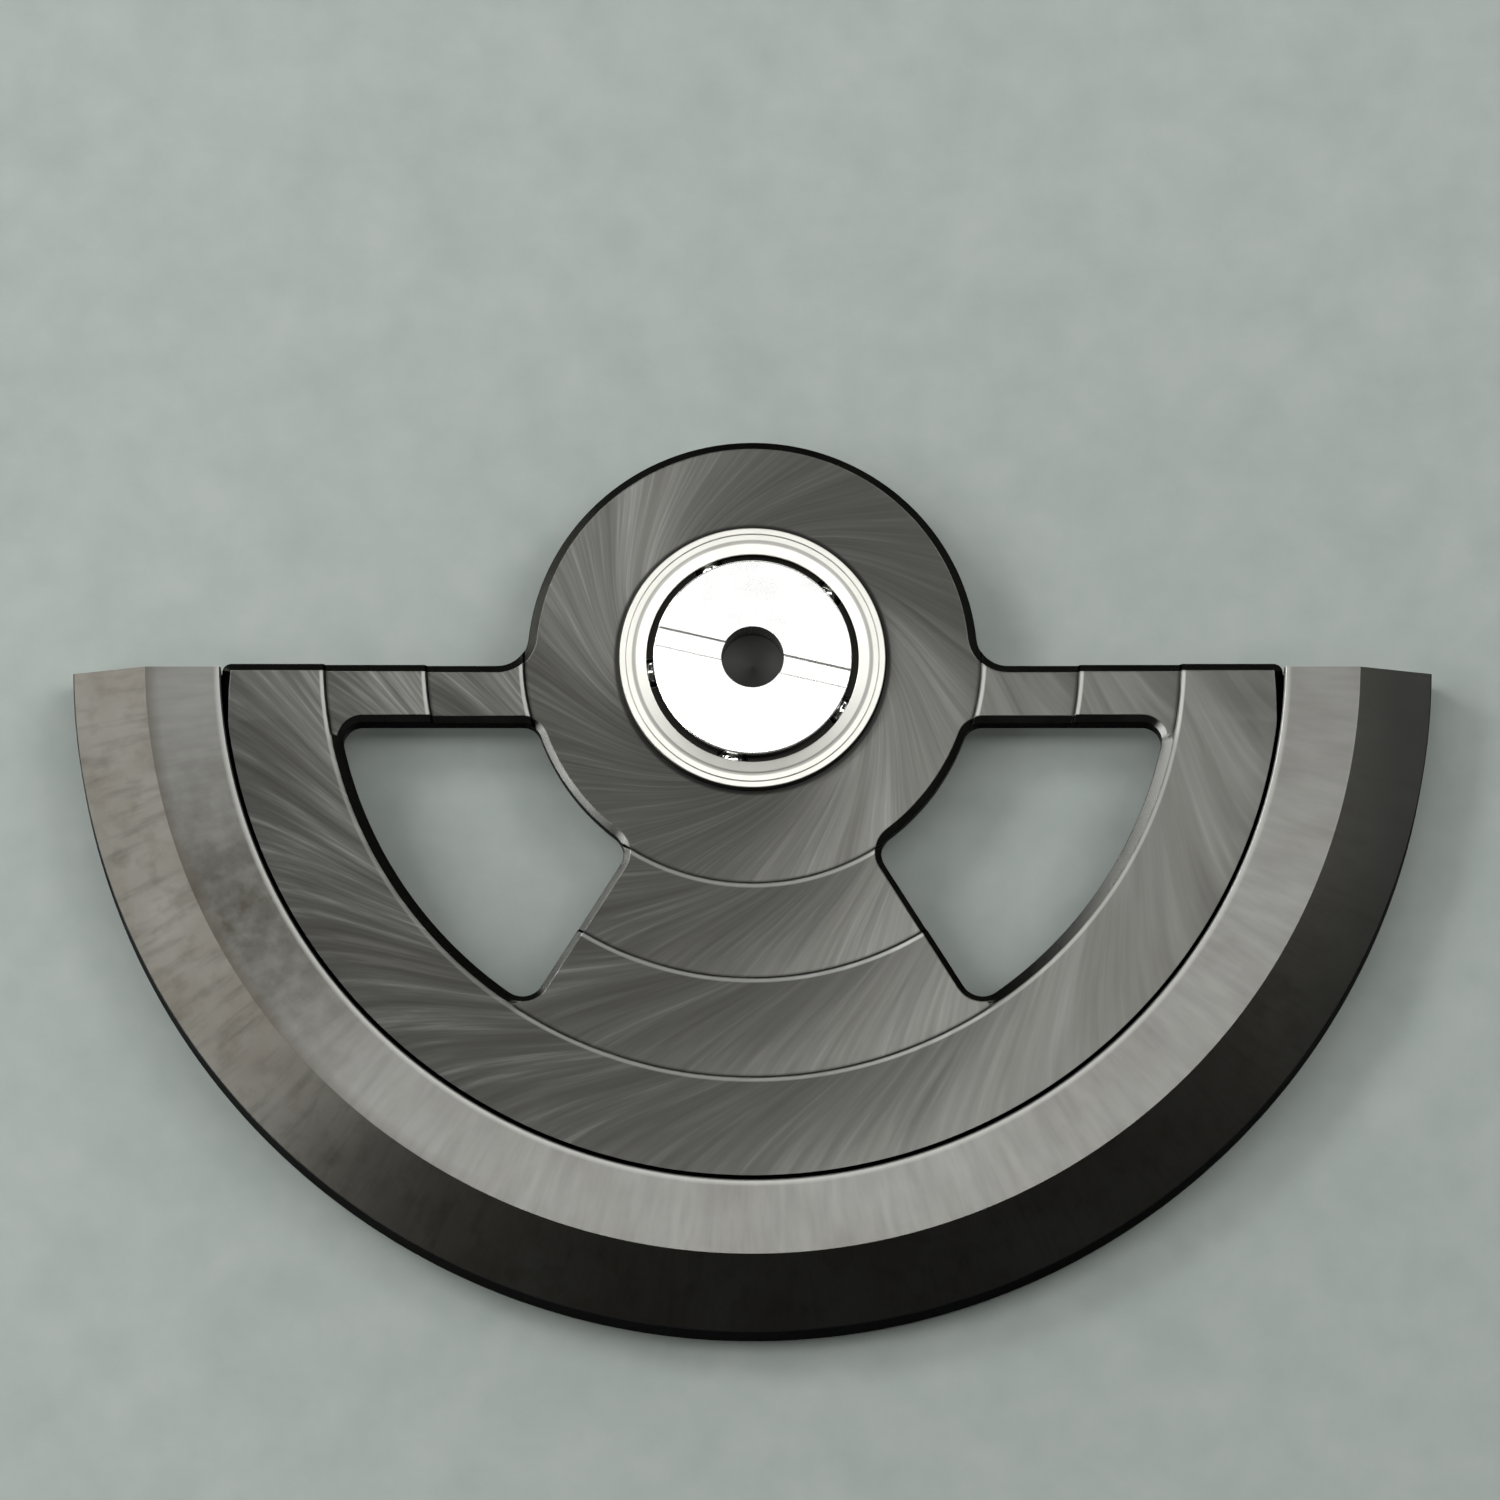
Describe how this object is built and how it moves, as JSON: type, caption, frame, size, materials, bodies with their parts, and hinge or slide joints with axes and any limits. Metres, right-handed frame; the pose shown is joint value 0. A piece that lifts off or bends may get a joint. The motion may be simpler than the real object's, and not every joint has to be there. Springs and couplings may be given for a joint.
{
  "type": "automatic watch rotor",
  "caption": "Half-disc oscillating weight for an automatic watch: stepped steel plate with two windows, bevelled heavy rim, and a ball bearing with slotted centre screw.",
  "frame": {"origin": "on the bearing axis, at the plane of the core's seat on the movement, which is also the level where the screw's threaded end leaves the core", "axes": "+Z along the bearing axis towards the display side, -Y towards the middle of the heavy half ring, +X to the right with +Y up"},
  "size_m": [0.026, 0.0173, 0.0018],
  "materials": {
    "plate_steel": "radially grained, satin",
    "weight_alloy": "tungsten alloy, fine satin with a few stains",
    "polished_steel": "polished",
    "screw_steel": "flat polished",
    "ball_steel": "polished",
    "cage_metal": "satin",
    "gear_metal": "satin"
  },
  "bodies": {
    "core": {"bearing_core": "polished_steel", "upper_race_cone": "polished_steel"},
    "rotor": {"rotor_plate": "plate_steel", "heavy_segment": "weight_alloy", "bearing_outer_ring": "polished_steel", "bearing_cover_ring": "polished_steel", "drive_gear": "gear_metal"},
    "cage": {"ball_cage": "cage_metal"},
    "screw": {"rotor_screw": "screw_steel"},
    "ball_1": {"ball_1": "ball_steel"},
    "ball_2": {"ball_2": "ball_steel"},
    "ball_3": {"ball_3": "ball_steel"},
    "ball_4": {"ball_4": "ball_steel"},
    "ball_5": {"ball_5": "ball_steel"}
  },
  "joints": [
    {"name": "rotor_spin", "type": "hinge", "parent": "core", "child": "rotor", "pos_m": [0, 0, 0.00057], "axis": [0, 0, 1], "continuous": true},
    {"name": "cage_spin", "type": "hinge", "parent": "core", "child": "cage", "pos_m": [0, 0, 0.00057], "axis": [0, 0, 1], "continuous": true},
    {"name": "screw_turn", "type": "hinge", "parent": "core", "child": "screw", "pos_m": [0, 0, 0.0004], "axis": [0, 0, 1], "continuous": true},
    {"name": "ball_1_spin", "type": "hinge", "parent": "cage", "child": "ball_1", "pos_m": [0.00145, 0.00133, 0.00057], "axis": [0, 0, 1], "continuous": true},
    {"name": "ball_2_spin", "type": "hinge", "parent": "cage", "child": "ball_2", "pos_m": [-0.00081, 0.00179, 0.00057], "axis": [0, 0, 1], "continuous": true},
    {"name": "ball_3_spin", "type": "hinge", "parent": "cage", "child": "ball_3", "pos_m": [-0.00196, -0.00022, 0.00057], "axis": [0, 0, 1], "continuous": true},
    {"name": "ball_4_spin", "type": "hinge", "parent": "cage", "child": "ball_4", "pos_m": [-0.0004, -0.00193, 0.00057], "axis": [0, 0, 1], "continuous": true},
    {"name": "ball_5_spin", "type": "hinge", "parent": "cage", "child": "ball_5", "pos_m": [0.00171, -0.00097, 0.00057], "axis": [0, 0, 1], "continuous": true}
  ],
  "couplings": [
    {"joint": "cage_spin", "follows": "rotor_spin", "ratio": 0.54935},
    {"joint": "ball_1_spin", "follows": "rotor_spin", "ratio": 5.0161},
    {"joint": "ball_2_spin", "follows": "rotor_spin", "ratio": 5.0161},
    {"joint": "ball_3_spin", "follows": "rotor_spin", "ratio": 5.0161},
    {"joint": "ball_4_spin", "follows": "rotor_spin", "ratio": 5.0161},
    {"joint": "ball_5_spin", "follows": "rotor_spin", "ratio": 5.0161}
  ]
}
